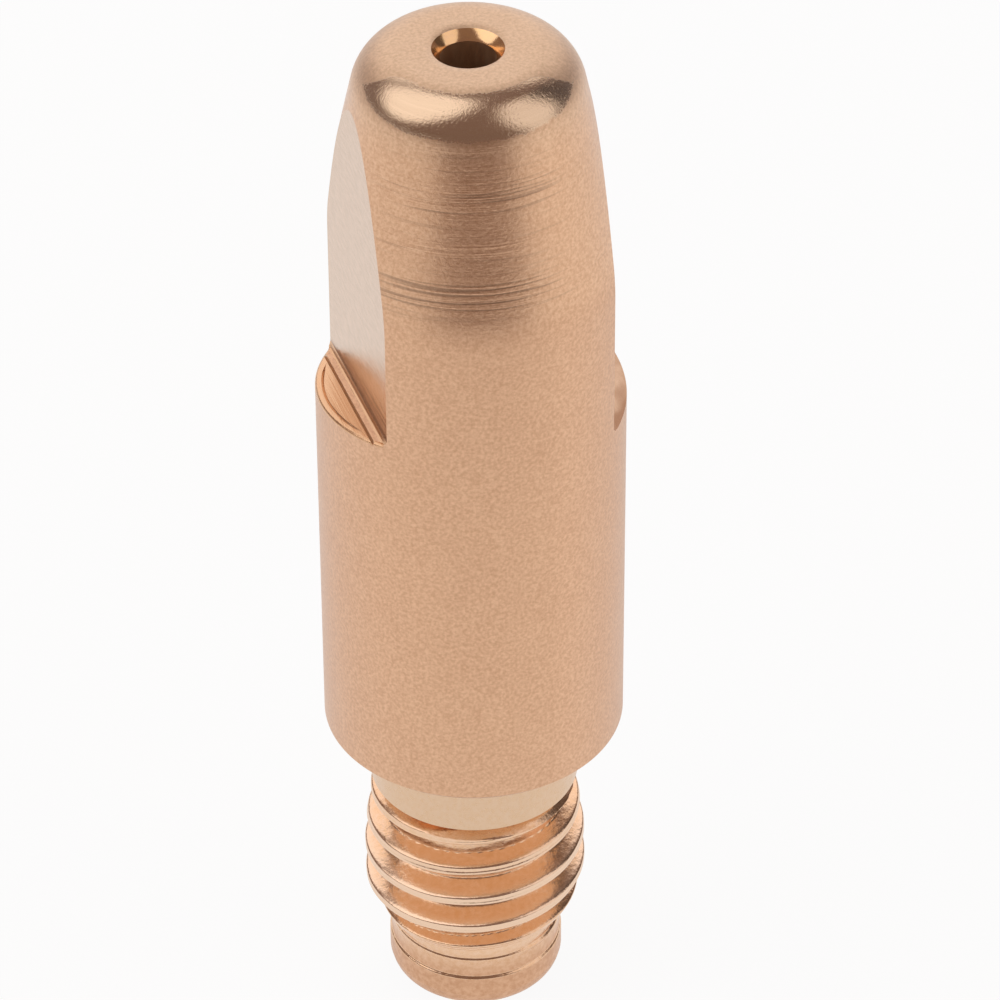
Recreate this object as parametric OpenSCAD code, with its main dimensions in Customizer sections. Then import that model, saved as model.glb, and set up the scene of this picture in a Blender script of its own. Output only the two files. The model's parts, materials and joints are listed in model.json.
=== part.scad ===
/* [Body] */
// Length from the end of the thread to the nose face
overall_length = 30; // [26:0.5:45]
// Diameter of the straight body
body_d = 8; // [7:0.1:10]
// Bevel on the edge of the seating shoulder
shoulder_bevel = 0.15; // [0.05:0.05:0.4]

/* [Threaded end] */
// Length of the threaded end, up to the seating shoulder
shank_length = 9; // [7.5:0.5:12]
// Major diameter of the thread
thread_d = 6; // [5.8:0.1:6.8]
// Diameter of the neck between the thread and the shoulder
neck_d = 5.6; // [5:0.1:5.9]
// Length of the neck
neck_length = 3; // [2:0.1:3.5]
// Length of the taper from the full thread to the neck
runout_length = 0.6; // [0.2:0.1:0.8]
// Diameter of the plain end that starts the thread
pilot_d = 4.7; // [4.2:0.1:5.2]
// Length of the plain end
pilot_length = 1.7; // [0.8:0.1:2]
// Length of the taper from the plain end to the full thread
lead_length = 1.6; // [0.6:0.1:1.8]
// Radius of the rounded edge at the end
end_round = 0.55; // [0.1:0.05:0.6]

/* [Nose] */
// Length of the tapered nose
nose_length = 6; // [4:0.5:12]
// Diameter that the taper reaches at the nose face, before its edge is rounded
nose_d = 5.4; // [4.8:0.1:6.4]
// Radius of the rounded nose edge
nose_round = 1.3; // [0.4:0.1:1.6]

/* [Spanner flats] */
// Distance across the two milled flats
flats_across = 6; // [5.4:0.1:6.8]
// Length of the flats, from the nose face to the middle of their ledges
flats_length = 10; // [7:0.5:14]
// Slant of the ledges, which the lead of the milling cut leaves
ledge_slant = 5.5; // [0:0.5:8]
// Radius that the cutter leaves between a flat and its ledge
flat_corner_r = 0.15; // [0.1:0.05:0.5]

/* [Wire bore] */
// Diameter of the bore that guides the wire
bore_d = 1.4; // [0.8:0.1:1.7]
// Mouth diameter of the countersink in the nose face
nose_sink_d = 1.9; // [1.8:0.1:2.6]
// Full angle of the countersink in the nose face
nose_sink_angle = 90; // [60:5:120]
// Mouth diameter of the cone where the wire enters
entry_d = 2.6; // [2.2:0.1:3]
// Full angle of the cone where the wire enters
entry_angle = 60; // [40:5:90]

/* [Hidden] */
// Overrun of a cutting shape past the face that it opens
cut = 1;
$fn = 128;
body_r = body_d / 2;
thread_r = thread_d / 2;
neck_r = neck_d / 2;
pilot_r = pilot_d / 2;
nose_r = nose_d / 2;
neck_z = shank_length - neck_length;
thread_top_z = neck_z - runout_length;
taper_z = overall_length - nose_length;
ledge_z = overall_length - flats_length;
// Half angle of the nose taper, which is also the slope of its outward normal
taper_angle = atan((body_r - nose_r) / nose_length);
nose_round_z = overall_length - nose_round;
// The rounding touches the taper and the nose face
nose_round_x = nose_r + nose_round * tan(taper_angle) - nose_round / cos(taper_angle);

function polar(r, angle) = [r * cos(angle), r * sin(angle)];

// Slice of a disc from one angle to the other, less than half a turn
module pie(r, from, to) {
    intersection() {
        circle(r);
        polygon([[0, 0], polar(2 * r, from), polar(2 * r, (from + to) / 2), polar(2 * r, to)]);
    }
}

// Half section of the turning: radius along X, height along Y
module turned_section() {
    polygon([
        [0, 0],
        [pilot_r - end_round, 0],
        [pilot_r, end_round],
        [pilot_r, pilot_length],
        [thread_r, pilot_length + lead_length],
        [thread_r, thread_top_z],
        [neck_r, neck_z],
        [neck_r, shank_length],
        [body_r - shoulder_bevel, shank_length],
        [body_r, shank_length + shoulder_bevel],
        [body_r, taper_z],
        [nose_round_x, nose_round_z] + polar(nose_round, taper_angle),
        [nose_round_x, overall_length],
        [0, overall_length]
    ]);
    translate([pilot_r - end_round, end_round]) pie(end_round, -90, 0);
    translate([nose_round_x, nose_round_z]) pie(nose_round, taper_angle, 90);
}

// Path of the milling cutter that leaves one flat and its ledge, on the +X side
module flat_cutter() {
    reach = body_d;
    height = flats_length + cut;
    corner = [flats_across / 2 + flat_corner_r, flat_corner_r];
    translate([0, 0, ledge_z]) rotate([90 + ledge_slant, 0, 0])
    linear_extrude(height = 2 * reach, center = true) {
        polygon([
            [corner.x, 0],
            [reach, 0],
            [reach, height],
            [flats_across / 2, height],
            [flats_across / 2, corner.y]
        ]);
        translate(corner) pie(flat_corner_r, 180, 270);
    }
}

// Cone that opens a bore to its mouth at Z = 0 and widens upward past it
module countersink(mouth_d, angle) {
    slope = tan(angle / 2);
    depth = (mouth_d - bore_d) / 2 / slope;
    translate([0, 0, -depth])
        cylinder(h = depth + cut, d1 = bore_d, d2 = mouth_d + 2 * cut * slope);
}

module contact_tip() {
    color([0.82, 0.62, 0.48]) difference() {
        rotate_extrude() turned_section();
        for (side = [0, 180]) rotate([0, 0, side]) flat_cutter();
        translate([0, 0, -cut]) cylinder(h = overall_length + 2 * cut, d = bore_d);
        translate([0, 0, overall_length]) countersink(nose_sink_d, nose_sink_angle);
        mirror([0, 0, 1]) countersink(entry_d, entry_angle);
    }
}

contact_tip();
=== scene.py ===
"""Dresses the welding contact tip: a detailed copper turning on a pale floor, in soft studio light."""

import json
import math

import bpy
import numpy as np
from mathutils import Matrix, Vector


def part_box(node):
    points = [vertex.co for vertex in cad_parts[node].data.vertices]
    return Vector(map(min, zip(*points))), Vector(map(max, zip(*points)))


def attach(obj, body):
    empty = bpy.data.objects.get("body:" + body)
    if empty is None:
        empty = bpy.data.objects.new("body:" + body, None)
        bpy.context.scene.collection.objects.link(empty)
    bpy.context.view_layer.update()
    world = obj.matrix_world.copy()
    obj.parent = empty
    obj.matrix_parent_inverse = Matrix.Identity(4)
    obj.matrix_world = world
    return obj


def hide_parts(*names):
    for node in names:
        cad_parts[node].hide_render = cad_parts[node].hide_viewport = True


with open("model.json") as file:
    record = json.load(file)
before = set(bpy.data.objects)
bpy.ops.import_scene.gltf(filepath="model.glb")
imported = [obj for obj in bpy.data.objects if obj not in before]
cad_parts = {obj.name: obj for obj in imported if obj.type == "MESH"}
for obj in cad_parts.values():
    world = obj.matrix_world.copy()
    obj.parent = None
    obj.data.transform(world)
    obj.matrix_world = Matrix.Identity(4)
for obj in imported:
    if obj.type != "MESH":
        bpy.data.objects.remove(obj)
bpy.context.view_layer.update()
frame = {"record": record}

MM = 0.001
MICRON = 0.001 * MM

# Sizes in millimetres that the frame gives
_, node_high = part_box("contact_tip")
mounts = {mount["name"]: mount for mount in frame["record"]["mounts"]}
LENGTH = node_high.z / MM
BODY_R = node_high.x / MM
THREAD_R = mounts["thread"]["dims"]["r_mm"]
LEAD_TOP_Z = mounts["thread"]["pos_m"][2] / MM - mounts["thread"]["dims"]["length_mm"] / 2
BORE_R = mounts["wire_bore"]["dims"]["r_mm"]
SHOULDER_Z = mounts["seat_shoulder"]["pos_m"][2] / MM
FLAT_X = mounts["spanner_flat_a"]["pos_m"][0] / MM

# Turned form, in millimetres and degrees
NOSE_LENGTH = 6.0
NOSE_R = 2.7
NOSE_ROUND = 1.3
TAPER_BLEND = 0.5
NOSE_SINK_R = 0.95
NOSE_SINK_SLOPE = math.tan(math.radians(45))
ENTRY_R = 1.3
ENTRY_SLOPE = math.tan(math.radians(30))
MOUTH_ROUND = 0.04
BORE_INSET = 1.0
END_ROUND = 0.55
END_ARC_STOP = -4
SHOULDER_BEVEL = 0.15
NECK_R = 2.8
NECK_CORNER = 0.12
NECK_EDGE_Z = 6.93
NECK_EDGE = 0.03
PILOT_R = 2.35
PILOT_LENGTH = 1.7
PILOT_STEPS_Z = (1.19, 1.84)
PILOT_STEP_RISE = 0.055
PILOT_STEP_HEIGHT = 0.09
PILOT_STEP_OFFSET = 0.3
TAPER_Z = LENGTH - NOSE_LENGTH
TAPER_ANGLE = math.atan((BODY_R - NOSE_R) / NOSE_LENGTH)
NOSE_ROUND_Z = LENGTH - NOSE_ROUND
NOSE_ROUND_X = NOSE_R + NOSE_ROUND * (math.tan(TAPER_ANGLE) - 1 / math.cos(TAPER_ANGLE))

# Polished part of the nose edge, in millimetres, which narrows away from the front
POLISH_R = 2.02
POLISH_LOW_Z = LENGTH - 0.88
POLISH_NARROWING = 0.7
POLISH_RISE = 0.77
POLISH_RAGGED = 0.3
POLISH_BORDER = 0.03

# Turning lines of the taper, in millimetres: reach, and distances from the nose face where they are deep
TURNED_LOW_Z = TAPER_Z + 0.2
TURNED_HIGH_Z = LENGTH - 0.8
TURNED_GROUPS = ((5.25, 4.55), (3.9, 3.45), (2.75, 2.0), (1.2, 1.05))
LINES_PER_MM = (0.22, 0.22, 11.0)

# Cosines of the angle from the front between which the polish narrows and the turning lines take their
# painted shade, a painted reflection of the dark front
POLISH_FACING = (0.66, 0.28)
LINES_SHADE_FACING = (0.62, 0.95)

# Rolled thread, M6 x 1 right-hand, in millimetres
PITCH = 1.0
THREAD_DEPTH = 0.55
CREST_AT_FRONT_Z = 6.56
CREST_HALF = 0.13
CREST_SHARPNESS = 12.0
ROOT_HALF = 0.06
ROOT_EASE = 1.7
RELIEF_Z = 6.82
RELIEF_R = 2.45
RELIEF_SLOPE = 1.5

# Heights and radii of the thread's crests, and of the floor of its grooves
CREST_PROFILE = ((0.0, PILOT_R), (PILOT_LENGTH, PILOT_R), (LEAD_TOP_Z, THREAD_R), (4.5, THREAD_R),
                 (5.0, 2.97), (5.5, 2.90), (6.0, 2.82), (NECK_EDGE_Z, 2.79))
ROOT_PROFILE = ((PILOT_LENGTH, PILOT_R), (2.3, 2.45))

# Seam along the crests and ripple of the rolling, in millimetres, with waves per turn and per millimetre
SEAM_DEPTH = 0.015
SEAM_WIDTH = 0.035
SEAM_FULL_DEPTH = 0.3
RIPPLE = 0.006
RIPPLE_WAVES = ((7, 0.6), (3, -0.9))

# Milled flats, in millimetres, with the slant in degrees and the other angles in radians
FLATS_LENGTH = 10.0
LEDGE_SLANT = 5.5
LEDGE_Z = LENGTH - FLATS_LENGTH
LEDGE_HALF_ANGLE = math.acos(FLAT_X / BODY_R)
FAR_LEDGE_DROP = 0.42
RIM_ROUND = 0.08
RIM_SHARE = 0.97
SCORE_FROM_RIM = 0.2
SCORE_HALF = 0.035
SCORE_DEPTH = 0.04
SCORE_END_DEPTH = 0.001
SCORE_FADE = 0.15
SCORE_HALF_ANGLE = LEDGE_HALF_ANGLE - 0.22
STREAKS_PER_MM = 11.0
STREAK_REACH = 0.82
STREAK_LEAN = 0.217

# Points of the ledges, outwards from their flats, each with the finish of the face that starts there
LEDGE_SECTION = ((0.0, 0.15, "ledge"), (0.045, 0.06, "ledge"), (0.1, 0.028, "body"),
                 (0.23, 0.0, "bore"), (0.27, -0.085, "bore"), (0.31, 0.0, "ledge"))
FAR_LEDGE_SECTION = ((0.0, 0.15, "flat"), (0.045, 0.045, "flat"), (0.15, 0.0, "flat"))

# Overruns of the cutters past what they cut, in millimetres
FLAT_OVER = 1.0
OVER = 0.1

# Resolution, with the angle in degrees from which an edge is sharp
COLUMNS = 180
ROWS_PER_PITCH = 56
NECK_ROWS = 5
BODY_ROWS = 10
BLEND_ROWS = 9
TAPER_ROWS = 9
FACE_ROWS = 5
BORE_ROWS = 5
NOSE_ARC_STEPS = 20
END_ARC_STEPS = 12
CORNER_STEPS = 5
RIM_STEPS = 6
CUTTER_SECTIONS = 61
SHARP_ANGLE = 32

# Camera, fitted to the outline in the photograph
CAMERA_AZIMUTH = -16.855
CAMERA_ELEVATION = 37.82
CAMERA_ROLL = -0.277
CAMERA_DISTANCE = 144.03 * MM
AIM_RIGHT = 0.73 * MM
AIM_HEIGHT = 15.93 * MM
SENSOR = 36.0
FOCAL_PER_WIDTH = 5.5243


def rgb(*levels):
    return (*levels, 1.0)


# Colours of the copper
SATIN = rgb(0.86, 0.55, 0.35)
SATIN_DARK = rgb(0.67, 0.385, 0.225)
BRIGHT = rgb(0.72, 0.56, 0.40)
BRIGHT_DARK = rgb(0.56, 0.43, 0.29)
POLISHED = rgb(0.77, 0.575, 0.405)
POLISHED_DARK = rgb(0.66, 0.48, 0.325)
# Painted shade of the turning lines, a painted reflection of the dark front
LINE_PAINTED_SHADE = rgb(0.32, 0.19, 0.12)
STREAK = rgb(0.30, 0.15, 0.085)
END = rgb(0.71, 0.41, 0.245)
END_DARK = rgb(0.55, 0.285, 0.16)
MILLED = rgb(0.70, 0.495, 0.355)
MILLED_DARK = rgb(0.60, 0.415, 0.285)
ORANGE = rgb(0.80, 0.51, 0.31)
ORANGE_DARK = rgb(0.66, 0.39, 0.22)
ROLLED = rgb(0.85, 0.58, 0.40)
# Paler colour of the crests: a painted highlight
CREST_HIGHLIGHT = rgb(0.85, 0.61, 0.44)
GOLD = rgb(0.94, 0.60, 0.29)
DEEP = rgb(0.76, 0.52, 0.36)

# Stage: the floor's half width in metres, its share of pure white, colours, and the lamps' aim and distance
FLOOR_HALF = 1.5
FLOOR_COLOUR = rgb(0.93, 0.93, 0.93)
FLOOR_WHITE = 0.92
ROOM = rgb(0.24, 0.166, 0.14)
DARK_CARD = rgb(0.10, 0.074, 0.064)
WHITE = rgb(1, 1, 1)
LAMP_AIM = Vector((0, 0, LENGTH / 2 * MM))
LAMP_DISTANCE = 0.5


def heading(azimuth, elevation=0.0):
    """Unit vector towards an azimuth, right of the camera's own, and an elevation, in degrees."""
    turn = math.radians(CAMERA_AZIMUTH + azimuth)
    rise = math.radians(elevation)
    return Vector((math.sin(turn) * math.cos(rise), -math.cos(turn) * math.cos(rise), math.sin(rise)))


def add_object(name, data):
    """New object in the scene, around its mesh, lamp or camera data."""
    made = bpy.data.objects.new(name, data)
    bpy.context.collection.objects.link(made)
    return made


def make_camera():
    """Camera that sees the tip as the photograph does."""
    back = heading(0, CAMERA_ELEVATION)
    right = heading(90)
    up = back.cross(right)
    roll = math.radians(CAMERA_ROLL)
    rolled_right = right * math.cos(roll) + up * math.sin(roll)
    rolled_up = up * math.cos(roll) - right * math.sin(roll)
    place = Matrix((rolled_right, rolled_up, back)).transposed().to_4x4()
    place.translation = right * AIM_RIGHT + Vector((0, 0, AIM_HEIGHT)) + back * CAMERA_DISTANCE
    camera = add_object("camera", bpy.data.cameras.new("camera"))
    camera.data.sensor_width = SENSOR
    camera.data.lens = SENSOR * FOCAL_PER_WIDTH
    camera.data.clip_start = CAMERA_DISTANCE / 100
    camera.data.clip_end = CAMERA_DISTANCE * 100
    camera.matrix_world = place
    bpy.context.scene.camera = camera


class Nodes:
    """Short way to fill a node tree."""

    def __init__(self, tree):
        self.tree = tree
        tree.nodes.clear()

    def add(self, kind, inputs=None, out=0, **settings):
        """Adds a node and returns one of its outputs. An input is a value or another node's output."""
        made = self.tree.nodes.new(kind)
        for name, value in settings.items():
            setattr(made, name, value)
        for key, value in (inputs or {}).items():
            if isinstance(value, bpy.types.NodeSocket):
                self.tree.links.new(value, made.inputs[key])
            else:
                made.inputs[key].default_value = value
        return made.outputs[out] if made.outputs else None

    def math(self, operation, *values):
        return self.add("ShaderNodeMath", dict(enumerate(values)), operation=operation)

    def product(self, *values):
        """All the values, multiplied."""
        result = values[0]
        for value in values[1:]:
            result = self.math("MULTIPLY", result, value)
        return result

    def step(self, value, start, end):
        """From 0 at start to 1 at end, with a soft course."""
        return self.add("ShaderNodeMapRange", {0: value, 1: start, 2: end}, interpolation_type="SMOOTHSTEP")

    def band(self, value, low, high, soft):
        """1 between low and high, with soft ends."""
        rise = self.step(value, low - soft, low + soft)
        fall = self.step(value, high + soft, high - soft)
        return self.math("MULTIPLY", rise, fall)

    def blend(self, factor, first, second):
        """Value from first to second."""
        return self.add("ShaderNodeMix", {0: factor, 2: first, 3: second})

    def mix(self, factor, first, second):
        """Colour from first to second."""
        return self.add("ShaderNodeMix", {0: factor, 6: first, 7: second}, out=2, data_type="RGBA")

    def millimetres(self, stretch=(1.0, 1.0, 1.0)):
        """Place on the tip in millimetres, multiplied by a stretch for each axis."""
        place = self.add("ShaderNodeTexCoord", out=3)
        scale = tuple(s / MM for s in stretch)
        return self.add("ShaderNodeMapping", {"Vector": place, "Scale": scale})

    def axis(self, index):
        return self.add("ShaderNodeSeparateXYZ", {0: self.millimetres()}, out=index)

    def height(self):
        return self.axis(2)

    def radius(self):
        """Distance from the axis of the tip."""
        inputs = {0: self.millimetres((1.0, 1.0, 0.0))}
        return self.add("ShaderNodeVectorMath", inputs, out=1, operation="LENGTH")

    def along(self, direction):
        """Distance from the axis along a direction that is fixed on the tip."""
        inputs = {0: self.millimetres(), 1: direction}
        return self.add("ShaderNodeVectorMath", inputs, out=1, operation="DOT_PRODUCT")

    def noise(self, vector, scale=1.0, detail=2.0, roughness=0.5):
        inputs = {"Vector": vector, "Scale": scale, "Detail": detail, "Roughness": roughness}
        return self.add("ShaderNodeTexNoise", inputs)

    def bump(self, height, microns):
        inputs = {"Height": height, "Strength": 1.0, "Distance": microns * MICRON}
        return self.add("ShaderNodeBump", inputs)


def new_material(name, shade):
    """Material whose shader comes from shade(nodes)."""
    material = bpy.data.materials.new(name)
    material.use_nodes = True
    nodes = Nodes(material.node_tree)
    nodes.add("ShaderNodeOutputMaterial", {"Surface": shade(nodes)})
    return material


def copper(name, paint):
    """Metal material whose base colour, roughness and bump come from paint(nodes)."""
    return new_material(
        name, lambda nodes: nodes.add("ShaderNodeBsdfPrincipled", {"Metallic": 1.0, **paint(nodes)}))


def deep_lines(nodes, height):
    """1 at the heights where the turning lines are deep."""
    groups = 0.0
    for start, end in TURNED_GROUPS:
        groups = nodes.math("ADD", nodes.band(height, LENGTH - start, LENGTH - end, soft=0.1), groups)
    return groups


def polish_share(nodes, height, radius, facing, grain):
    """1 on the polished part of the nose edge, with a border that the grain makes ragged."""
    ragged = nodes.product(nodes.math("SUBTRACT", grain, 0.5), POLISH_RAGGED)
    aside = nodes.math("POWER", nodes.math("SUBTRACT", 1.0, facing), 2.0)
    lower = nodes.math("MULTIPLY_ADD", aside, POLISH_RISE, POLISH_LOW_Z)
    inner = nodes.math("MULTIPLY_ADD", nodes.step(facing, *POLISH_FACING), POLISH_NARROWING, POLISH_R)
    above = nodes.math("SUBTRACT", nodes.math("ADD", height, ragged), lower)
    past = nodes.math("SUBTRACT", nodes.math("ADD", radius, ragged), inner)
    return nodes.product(*(nodes.step(inside, -POLISH_BORDER, POLISH_BORDER) for inside in (above, past)))


def paint_body(nodes):
    """Satin body, with turning lines on the taper, painted darker towards the front as a painted reflection
    of the dark front, and a polished front edge of the nose.
    """
    place = nodes.millimetres()
    height = nodes.height()
    radius = nodes.radius()
    facing = nodes.math("DIVIDE", nodes.along(heading(0)), radius)
    grain = nodes.noise(place, scale=11.0, detail=5.0, roughness=0.65)
    blotch = nodes.noise(place, scale=1.1, detail=3.0)
    pits = nodes.step(nodes.noise(place, scale=16.0), 0.5, 0.75)
    lines = nodes.noise(nodes.millimetres(LINES_PER_MM), detail=3.0, roughness=0.6)
    turned = nodes.band(height, TURNED_LOW_Z, TURNED_HIGH_Z, soft=0.4)
    deep = deep_lines(nodes, height)
    polished = polish_share(nodes, height, radius, facing, grain)
    mottle = nodes.step(grain, 0.28, 0.72)
    pale = nodes.product(nodes.step(height, LENGTH - 2.0, LENGTH + 1.0), 0.8)
    # The turning lines are real, but their dark colour is painted only where they face the front: painted
    # shade for the dark front they reflect
    painted_dark_lines = nodes.product(turned, nodes.blend(deep, 0.25, 0.7), nodes.step(lines, 0.48, 0.34),
                               nodes.step(facing, *LINES_SHADE_FACING))
    colour = nodes.mix(mottle, SATIN_DARK, SATIN)
    colour = nodes.mix(pale, colour, nodes.mix(mottle, BRIGHT_DARK, BRIGHT))
    colour = nodes.mix(painted_dark_lines, colour, LINE_PAINTED_SHADE)
    colour = nodes.mix(polished, colour, nodes.mix(lines, POLISHED_DARK, POLISHED))
    satin_rough = nodes.blend(blotch, 0.42, 0.52)
    turned_rough = nodes.math("MULTIPLY_ADD", turned, -0.13, satin_rough)
    rough = nodes.blend(polished, turned_rough, 0.15)
    grain_rise = nodes.product(grain, nodes.blend(polished, 1.0, 0.65))
    line_depth = nodes.product(turned, nodes.blend(deep, 0.4, 1.4))
    rise = nodes.math("MULTIPLY_ADD", nodes.math("SUBTRACT", lines, 0.5), line_depth, grain_rise)
    rise = nodes.math("MULTIPLY_ADD", nodes.product(pits, polished), -0.2, rise)
    return {"Base Color": colour, "Roughness": rough, "Normal": nodes.bump(rise, microns=9),
            "Sheen Weight": 0.5, "Sheen Roughness": 0.5}


def paint_flat(nodes):
    """Smooth milled flat, with dark streaks above its ledge that fade upward."""
    x = nodes.axis(0)
    y = nodes.axis(1)
    grain = nodes.noise(nodes.millimetres((1.0, 0.25, 1.0)), scale=9.0, detail=4.0, roughness=0.6)
    across = nodes.math("DIVIDE", nodes.product(x, y), FLAT_X)
    middle = nodes.math("MULTIPLY_ADD", nodes.step(x, -1.0, 1.0), -FAR_LEDGE_DROP, LEDGE_Z)
    ledge_height = nodes.math("MULTIPLY_ADD", across, math.tan(math.radians(LEDGE_SLANT)), middle)
    above = nodes.math("SUBTRACT", nodes.height(), ledge_height)
    streak_place = {0: nodes.product(above, STREAKS_PER_MM), 1: nodes.product(y, 0.25), 2: 0.5}
    lines = nodes.noise(nodes.add("ShaderNodeCombineXYZ", streak_place), detail=3.0)
    reach = nodes.math("MULTIPLY_ADD", across, STREAK_LEAN, STREAK_REACH)
    share = nodes.math("ADD", nodes.math("DIVIDE", above, reach), nodes.math("SUBTRACT", lines, 0.5))
    scored = nodes.product(nodes.step(share, 1.1, 0.6), nodes.step(above, -0.1, 0.0))
    streaks = nodes.product(scored, nodes.step(lines, 0.44, 0.56), 0.85)
    colour = nodes.mix(nodes.step(grain, 0.3, 0.7), MILLED_DARK, MILLED)
    colour = nodes.mix(streaks, colour, STREAK)
    rough = nodes.blend(grain, 0.14, 0.24)
    rise = nodes.math("MULTIPLY_ADD", lines, nodes.product(scored, 1.5), grain)
    return {"Base Color": colour, "Roughness": rough, "Normal": nodes.bump(rise, microns=6)}


def paint_ledge(nodes):
    """Bright ledge with the cutter's lines across it."""
    lines = nodes.noise(nodes.millimetres((14.0, 0.25, 1.0)), detail=3.0)
    rough = nodes.blend(lines, 0.2, 0.35)
    colour = nodes.mix(lines, ORANGE_DARK, ORANGE)
    return {"Base Color": colour, "Roughness": rough, "Normal": nodes.bump(lines, microns=8)}


def paint_thread(nodes):
    """Shiny rolled thread with crests painted paler as a painted highlight, a duller neck, and a dull end
    whose steps shine and are painted paler as a painted highlight.
    """
    place = nodes.millimetres()
    height = nodes.height()
    grain = nodes.noise(place, scale=7.0, detail=4.0, roughness=0.6)
    dents = nodes.noise(place, scale=1.8, detail=3.0)
    mottle = nodes.step(grain, 0.3, 0.7)
    end = nodes.step(height, LEAD_TOP_Z - PITCH, PILOT_STEPS_Z[0] - 0.2)
    # At the steps the end is neither dull nor dark: real shine, and a paler colour that is a painted
    # highlight along the steps
    for step_z in PILOT_STEPS_Z:
        shine_and_highlight = nodes.band(height, step_z - PILOT_STEP_HEIGHT / 2, step_z + PILOT_STEP_HEIGHT / 2, soft=0.02)
        end = nodes.product(end, nodes.math("SUBTRACT", 1.0, shine_and_highlight))
    neck = nodes.step(height, NECK_EDGE_Z, NECK_EDGE_Z + NECK_EDGE)
    # Crests painted paler: a painted highlight for the light their bands reflect
    crest = nodes.step(nodes.radius(), THREAD_R - 0.28, THREAD_R - 0.02)
    dull = nodes.math("MAXIMUM", end, nodes.product(neck, 0.5))
    rough = nodes.blend(dull, nodes.blend(grain, 0.14, 0.26), 0.36)
    colour = nodes.mix(mottle, ORANGE, ROLLED)
    colour = nodes.mix(crest, colour, CREST_HIGHLIGHT)
    colour = nodes.mix(nodes.product(neck, 0.35), colour, BRIGHT_DARK)
    colour = nodes.mix(nodes.product(end, 0.8), colour, nodes.mix(mottle, END_DARK, END))
    rise = nodes.math("MULTIPLY_ADD", dents, 2.5, grain)
    return {"Base Color": colour, "Roughness": rough, "Normal": nodes.bump(rise, microns=7)}


def paint_sink(nodes):
    """Golden countersinks."""
    grain = nodes.noise(nodes.millimetres(), scale=7.0, detail=3.0)
    rough = nodes.blend(grain, 0.12, 0.22)
    colour = nodes.mix(grain, ORANGE, GOLD)
    return {"Base Color": colour, "Roughness": rough, "Normal": nodes.bump(grain, microns=3)}


def paint_bore(nodes):
    """Dull wall of the wire bore."""
    grain = nodes.noise(nodes.millimetres((1.0, 1.0, 0.2)), scale=6.0, detail=3.0)
    rough = nodes.blend(grain, 0.35, 0.55)
    return {"Base Color": nodes.mix(grain, DEEP, BRIGHT), "Roughness": rough}


# Finish of each zone; the bore's is also in the groove of the near ledge, and the flat's on the far ledge
FINISHES = {"body": paint_body, "flat": paint_flat, "ledge": paint_ledge,
            "thread": paint_thread, "sink": paint_sink, "bore": paint_bore}
ZONES = list(FINISHES)
materials = [copper("copper_" + zone, paint) for zone, paint in FINISHES.items()]

# Columns of the rings, as shares of a turn, and the share at which the camera stands
TURNS = np.arange(COLUMNS) / COLUMNS
front = heading(0)
FRONT_TURN = math.atan2(front.y, front.x) / math.tau


def smooth(x):
    """Soft course from 0 to 1."""
    x = np.clip(x, 0, 1)
    return x * x * (3 - 2 * x)


def thread_ring(z):
    """Radius of the threaded end all round at one height."""
    crest = np.interp(z, *zip(*CREST_PROFILE))
    root = min(np.interp(z, *zip(*ROOT_PROFILE)), crest)
    turns_off = (z - CREST_AT_FRONT_Z) / PITCH - (TURNS - FRONT_TURN)
    away = np.abs((turns_off + 0.5) % 1 - 0.5)
    flank = np.maximum(0, (0.5 - ROOT_HALF - away) / (0.5 - ROOT_HALF - CREST_HALF)) ** ROOT_EASE
    rise = -np.log(np.exp(-CREST_SHARPNESS * flank) + math.exp(-CREST_SHARPNESS)) / CREST_SHARPNESS
    drop = np.minimum(THREAD_DEPTH * (1 - rise), crest - root)
    ripple = math.prod(np.sin(math.tau * (around * TURNS + along * z)) for around, along in RIPPLE_WAVES)
    depth = min(1, (crest - root) / SEAM_FULL_DEPTH)
    seam = depth * (SEAM_DEPTH * np.exp(-(away * PITCH / SEAM_WIDTH) ** 2) + RIPPLE * ripple)
    steps = sum(smooth((z - step_z) / PILOT_STEP_HEIGHT + 0.5) for step_z in PILOT_STEPS_Z)
    fade = smooth((LEAD_TOP_Z - z) / (LEAD_TOP_Z - PILOT_LENGTH))
    radii = crest - drop - seam - PILOT_STEP_RISE * (steps - PILOT_STEP_OFFSET) * fade
    return np.minimum(radii, RELIEF_R + RELIEF_SLOPE * max(0, RELIEF_Z - z))


def arc(centre_r, centre_z, radius, start, end, steps):
    """Points of an arc in the half section, angles in degrees from the outward direction."""
    angles = np.radians(np.linspace(start, end, steps + 1))
    return [(centre_r + radius * math.cos(a), centre_z + radius * math.sin(a)) for a in angles]


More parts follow.
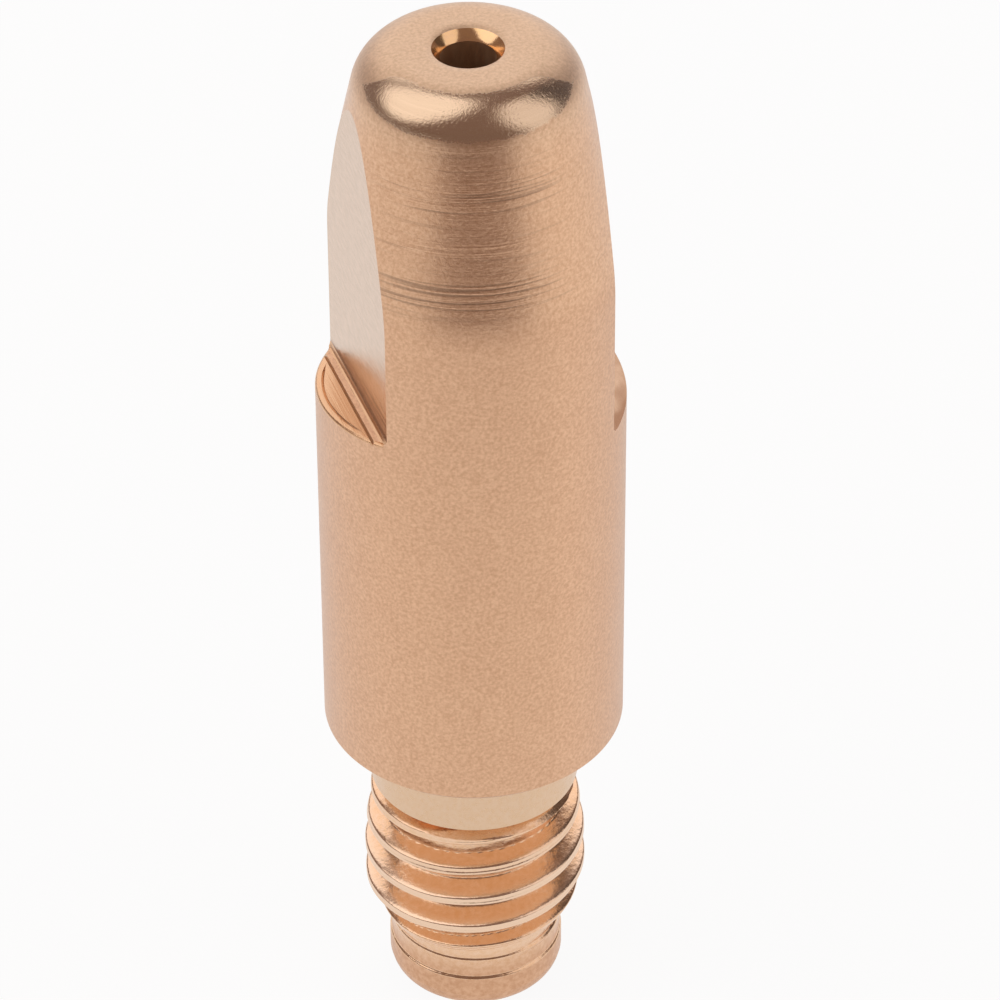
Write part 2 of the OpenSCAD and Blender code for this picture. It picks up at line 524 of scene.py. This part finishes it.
def outside_rings():
    """Rings (radius, height, zone) of the outer surface, from the end up to the nose face."""
    end = arc(PILOT_R - END_ROUND, END_ROUND, END_ROUND, -90, END_ARC_STOP, END_ARC_STEPS)
    thread_rows = round((NECK_EDGE_Z - END_ROUND) / PITCH * ROWS_PER_PITCH)
    thread_heights = np.linspace(END_ROUND, NECK_EDGE_Z, thread_rows)
    corner_z = SHOULDER_Z - NECK_CORNER
    neck_heights = np.linspace(NECK_EDGE_Z + NECK_EDGE, corner_z, NECK_ROWS)
    neck_corner = arc(NECK_R + NECK_CORNER, corner_z, NECK_CORNER, 180, 90, CORNER_STEPS)[1:]
    body_heights = np.linspace(SHOULDER_Z + SHOULDER_BEVEL, TAPER_Z - TAPER_BLEND, BODY_ROWS)
    nose = arc(NOSE_ROUND_X, NOSE_ROUND_Z, NOSE_ROUND, math.degrees(TAPER_ANGLE), 90, NOSE_ARC_STEPS)
    taper_heights = np.linspace(TAPER_Z + TAPER_BLEND, nose[0][1], TAPER_ROWS)[1:-1]
    face_radii = np.linspace(nose[-1][0], NOSE_SINK_R + MOUTH_ROUND, FACE_ROWS)[1:]
    slope = math.tan(TAPER_ANGLE)
    rings = [(r, z, "thread") for r, z in end]
    rings += [(thread_ring(z), z, "thread") for z in thread_heights]
    rings += [(NECK_R, z, "thread") for z in neck_heights]
    rings += [(r, z, "thread") for r, z in neck_corner]
    rings += [(BODY_R - SHOULDER_BEVEL, SHOULDER_Z, "body")]
    rings += [(BODY_R, z, "body") for z in body_heights]
    for step in np.linspace(-1, 1, BLEND_ROWS)[1:]:
        sag = slope * TAPER_BLEND * (1 + step) ** 2 / 4
        rings.append((BODY_R - sag, TAPER_Z + TAPER_BLEND * step, "body"))
    rings += [(BODY_R - slope * (z - TAPER_Z), z, "body") for z in taper_heights]
    rings += [(r, z, "body") for r, z in nose]
    rings += [(r, LENGTH, "body") for r in face_radii]
    return rings


def bore_rings():
    """Rings of the wire bore and its two countersinks, from the nose down to the end."""
    entry_depth = (ENTRY_R - BORE_R) / ENTRY_SLOPE
    sink_depth = (NOSE_SINK_R - BORE_R) / NOSE_SINK_SLOPE
    wall_heights = np.linspace(LENGTH - BORE_INSET, entry_depth + BORE_INSET, BORE_ROWS)
    rings = [(NOSE_SINK_R - MOUTH_ROUND, LENGTH - MOUTH_ROUND / NOSE_SINK_SLOPE, "sink"),
             (BORE_R + MOUTH_ROUND, LENGTH - sink_depth + MOUTH_ROUND / NOSE_SINK_SLOPE, "sink"),
             (BORE_R, LENGTH - sink_depth - MOUTH_ROUND, "bore")]
    rings += [(BORE_R, z, "bore") for z in wall_heights]
    rings += [(BORE_R, entry_depth, "sink"),
              (ENTRY_R - MOUTH_ROUND, MOUTH_ROUND / ENTRY_SLOPE, "sink"),
              (ENTRY_R + MOUTH_ROUND, 0, "thread")]
    return rings


def new_mesh(name, points, faces, zones):
    """Mesh whose faces take the materials of their zones."""
    mesh = bpy.data.meshes.new(name)
    mesh.from_pydata(points, [], faces)
    for material in materials:
        mesh.materials.append(material)
    mesh.polygons.foreach_set("material_index", [ZONES.index(zone) for zone in zones])
    return mesh


def ring_mesh(name, rings):
    """Closed mesh through rings that come back to the first one."""
    angles = TURNS * math.tau
    points = []
    for radius, height, _ in rings:
        radii = np.broadcast_to(radius, COLUMNS)
        heights = np.full(COLUMNS, height)
        points.append(np.column_stack((radii * np.cos(angles), radii * np.sin(angles), heights)))
    rows = np.arange(len(rings))[:, None] * COLUMNS
    next_rows = np.roll(rows, -1, axis=0)
    columns = np.arange(COLUMNS)[None, :]
    next_columns = np.roll(columns, -1, axis=1)
    corners = (rows + columns, rows + next_columns, next_rows + next_columns, next_rows + columns)
    faces = np.stack(corners, axis=2).reshape(-1, 4)
    zones = [zone for _, _, zone in rings for _ in range(COLUMNS)]
    return new_mesh(name, np.concatenate(points).tolist(), faces.tolist(), zones)


def swept_mesh(name, sections, zones):
    """Closed mesh through flat sections of equal point count, zones given per side."""
    count = len(sections[0])
    points = [point for section in sections for point in section]
    last = len(points) - count
    faces = [list(range(count)), list(range(last + count - 1, last - 1, -1))]
    for start in range(0, last, count):
        for side in range(count):
            after = (side + 1) % count
            faces.append([start + after, start + side, start + count + side, start + count + after])
    return new_mesh(name, points, faces, [zones[0], zones[0]] + zones * (len(sections) - 1))


def flat_cutter(section):
    """Solid that the cutter sweeps on the +X side, with the ledge's middle at Z = 0."""
    reach = 2 * BODY_R
    top = FLATS_LENGTH + FLAT_OVER
    ledge = [(FLAT_X + across, rise) for across, rise, _ in section]
    outline = [(FLAT_X, top)] + ledge + [(reach, 0.0), (reach, top)]
    zones = ["flat"] + [zone for _, _, zone in section] + ["flat", "flat"]
    sections = [[(x, y, z) for x, z in outline] for y in (-reach, reach)]
    return swept_mesh("flat_cutter", sections, zones)


def round_cutter(name, half_angle, section):
    """Solid through the sections (radius, height) that section(turn) gives around the +X side."""
    sections = []
    for turn in np.linspace(-half_angle, half_angle, CUTTER_SECTIONS):
        sections.append([(r * math.cos(turn), r * math.sin(turn), z) for r, z in section(turn)])
    return swept_mesh(name, sections, ["ledge"] * len(sections[0]))


def rim_section(turn):
    """Section of the cut that rounds the outer edge of a ledge, with the ledge's middle at Z = 0."""
    ledge_width = BODY_R - FLAT_X / math.cos(turn)
    radius = min(RIM_ROUND, ledge_width / 2)
    outside = [(BODY_R + OVER, -radius), (BODY_R + OVER, OVER), (BODY_R - radius, OVER)]
    return arc(BODY_R - radius, -radius, radius, 90, 0, RIM_STEPS) + outside


def score_section(turn):
    """Section of the scored line inside the outer edge of a ledge, which fades at its ends."""
    middle = BODY_R - SCORE_FROM_RIM
    depth = SCORE_DEPTH * float(smooth((SCORE_HALF_ANGLE - abs(turn)) / SCORE_FADE)) + SCORE_END_DEPTH
    half = SCORE_HALF * (1 + OVER / SCORE_DEPTH)
    return [(middle - half, OVER), (middle, -depth), (middle + half, OVER)]


def near_ledge_tools():
    """Tools for the ledge in view: freshly cut, with a rounded edge and a scored line."""
    return [flat_cutter(LEDGE_SECTION),
            round_cutter("rim", RIM_SHARE * LEDGE_HALF_ANGLE, rim_section),
            round_cutter("score", SCORE_HALF_ANGLE, score_section)]


def far_ledge_tools():
    """Tool for the ledge that the body half hides: as pale as its flat, and a little lower in the photo."""
    tool = flat_cutter(FAR_LEDGE_SECTION)
    tool.transform(Matrix.Translation((0, 0, -FAR_LEDGE_DROP)))
    return [tool]


def cut(target, tools):
    """Takes the tools' solids out of the target's mesh and deletes the tools."""
    for tool in tools:
        modifier = target.modifiers.new(tool.name, "BOOLEAN")
        modifier.operation = "DIFFERENCE"
        modifier.solver = "EXACT"
        modifier.object = tool
    bpy.context.view_layer.update()
    graph = bpy.context.evaluated_depsgraph_get()
    target.data = bpy.data.meshes.new_from_object(target.evaluated_get(graph))
    target.modifiers.clear()
    for tool in tools:
        bpy.data.objects.remove(tool)


def sharpen_zone_edges(mesh):
    """Marks the edges between two zones as sharp."""
    zone_of_face = np.empty(len(mesh.polygons), int)
    corners_of_face = np.empty(len(mesh.polygons), int)
    edge_of_corner = np.empty(len(mesh.loops), int)
    sharp = np.empty(len(mesh.edges), bool)
    mesh.polygons.foreach_get("material_index", zone_of_face)
    mesh.polygons.foreach_get("loop_total", corners_of_face)
    mesh.loops.foreach_get("edge_index", edge_of_corner)
    mesh.edges.foreach_get("use_edge_sharp", sharp)
    zone_of_corner = np.repeat(zone_of_face, corners_of_face)
    lowest = np.full(len(mesh.edges), len(ZONES))
    highest = np.zeros(len(mesh.edges), int)
    np.minimum.at(lowest, edge_of_corner, zone_of_corner)
    np.maximum.at(highest, edge_of_corner, zone_of_corner)
    mesh.edges.foreach_set("use_edge_sharp", sharp | (lowest < highest))


def make_tip():
    """Turned tip with its flats cut, in metres."""
    tip = add_object("copper_tip", ring_mesh("copper_tip", outside_rings() + bore_rings()))
    slant = Matrix.Translation((0, 0, LEDGE_Z)) @ Matrix.Rotation(math.radians(LEDGE_SLANT), 4, "X")
    tools = []
    for turn, meshes in ((0, far_ledge_tools()), (math.pi, near_ledge_tools())):
        for mesh in meshes:
            tool = add_object(mesh.name, mesh)
            tool.matrix_world = Matrix.Rotation(turn, 4, "Z") @ slant
            tools.append(tool)
    cut(tip, tools)
    mesh = tip.data
    mesh.transform(Matrix.Scale(MM, 4))
    mesh.shade_smooth()
    mesh.set_sharp_from_angle(angle=math.radians(SHARP_ANGLE))
    sharpen_zone_edges(mesh)
    return tip


def stage_sheet(name, corners, material):
    """Flat sheet that belongs to the stage."""
    mesh = bpy.data.meshes.new(name)
    mesh.from_pydata(corners, [], [(0, 1, 2, 3)])
    mesh.materials.append(material)
    sheet = add_object(name, mesh)
    return sheet


def shade_floor(nodes):
    """Pale and matt, but nearly white to the camera and in the metal."""
    rays = [nodes.add("ShaderNodeLightPath", out=kind)
            for kind in ("Is Camera Ray", "Is Glossy Ray", "Is Transmission Ray")]
    seen = nodes.math("MAXIMUM", nodes.math("MAXIMUM", rays[0], rays[1]), rays[2])
    diffuse = nodes.add("ShaderNodeBsdfDiffuse", {"Color": FLOOR_COLOUR})
    white = nodes.add("ShaderNodeEmission", {"Color": WHITE, "Strength": 1.0})
    return nodes.add("ShaderNodeMixShader", {0: nodes.product(seen, FLOOR_WHITE), 1: diffuse, 2: white})


def make_floor():
    """Table that keeps a little of the tip's shadow."""
    corners = [(FLOOR_HALF * x, FLOOR_HALF * y, 0) for x, y in ((-1, -1), (1, -1), (1, 1), (-1, 1))]
    stage_sheet("floor", corners, new_material("floor_white", shade_floor))


def make_flag(name, azimuth, distance, half_width, bottom, top, colour):
    """Dark card that faces the tip and shows only in the metal."""
    foot = heading(azimuth) * distance
    aside = heading(azimuth + 90) * half_width
    corners = [foot + aside * side + Vector((0, 0, height))
               for side, height in ((-1, bottom), (1, bottom), (1, top), (-1, top))]
    material = new_material(
        name, lambda nodes: nodes.add("ShaderNodeEmission", {"Color": colour, "Strength": 1.0}))
    flag = stage_sheet(name, corners, material)
    flag.visible_camera = False
    flag.visible_diffuse = False
    flag.visible_shadow = False


def softbox(name, azimuth, elevation, width, height, radiance):
    """Oval lamp that faces the tip, with the given brightness."""
    lamp = bpy.data.lights.new(name, "AREA")
    lamp.shape = "ELLIPSE"
    lamp.size = width
    lamp.size_y = height
    lamp.energy = radiance * math.pi * (math.pi / 4 * width * height)
    box = add_object(name, lamp)
    towards = heading(azimuth, elevation)
    box.location = LAMP_AIM + towards * LAMP_DISTANCE
    box.rotation_mode = "QUATERNION"
    box.rotation_quaternion = towards.to_track_quat("Z", "Y")
    box.visible_camera = False


def make_world():
    """Dim warm room all round."""
    world = bpy.data.worlds.new("studio")
    bpy.context.scene.world = world
    world.use_nodes = True
    nodes = Nodes(world.node_tree)
    room = nodes.add("ShaderNodeBackground", {"Color": ROOM})
    nodes.add("ShaderNodeOutputWorld", {"Surface": room})


make_camera()
make_floor()
make_flag("front_flag", azimuth=7, distance=75 * MM, half_width=47 * MM, bottom=0, top=100 * MM, colour=ROOM)
make_flag("side_flag", azimuth=108, distance=200 * MM, half_width=52 * MM, bottom=45 * MM, top=300 * MM,
          colour=DARK_CARD)
make_world()
softbox("key", azimuth=-78, elevation=55, width=0.55, height=0.78, radiance=1.08)
softbox("fill", azimuth=73, elevation=33, width=0.5, height=0.67, radiance=0.76)
softbox("backdrop", azimuth=180, elevation=32, width=0.9, height=0.55, radiance=1.0)

tip = make_tip()
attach(tip, "root")
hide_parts("contact_tip")

bpy.context.scene.view_settings.view_transform = "Standard"
